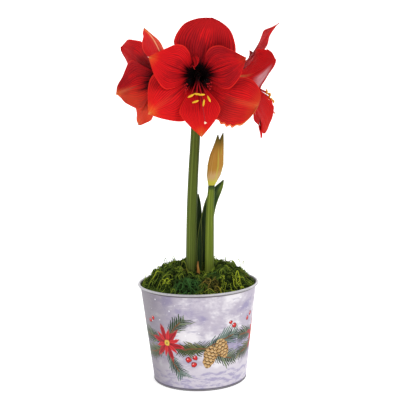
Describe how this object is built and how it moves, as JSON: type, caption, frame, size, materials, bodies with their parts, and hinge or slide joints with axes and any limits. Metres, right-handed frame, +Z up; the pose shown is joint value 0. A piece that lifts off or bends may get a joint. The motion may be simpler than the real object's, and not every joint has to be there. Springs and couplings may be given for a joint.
{
  "type": "potted amaryllis",
  "caption": "Red amaryllis in bloom with a young bud and strap leaves, growing from moss in a tapered round tin pot.",
  "frame": {"origin": "centre of the pot's flat underside", "axes": "+Z up, and the open front bloom faces -Y"},
  "size_m": [0.2245, 0.2311, 0.4873],
  "materials": {
    "painted_tin": "satin",
    "soil": "matte",
    "bulb_skin": "matte",
    "moss": "matte",
    "stalk_green": "satin",
    "young_green": "satin",
    "bud_sheath": "satin",
    "leaf_green": "satin",
    "papery_brown": "matte",
    "petal_red": "satin"
  },
  "bodies": {
    "root": {"pot": "painted_tin", "potting_soil": "soil", "bulb": "bulb_skin", "bulb_scale": "papery_brown", "moss": "moss", "scape_main": "stalk_green", "scape_young": "young_green", "bud_spathe": "bud_sheath", "leaf_right": "leaf_green", "leaf_left": "leaf_green", "leaf_middle": "leaf_green", "leaf_short": "leaf_green", "bract_left": "papery_brown", "bract_right": "papery_brown", "bloom_front": "petal_red", "bloom_left": "petal_red", "bloom_right": "petal_red", "bloom_back": "petal_red"}
  },
  "joints": []
}
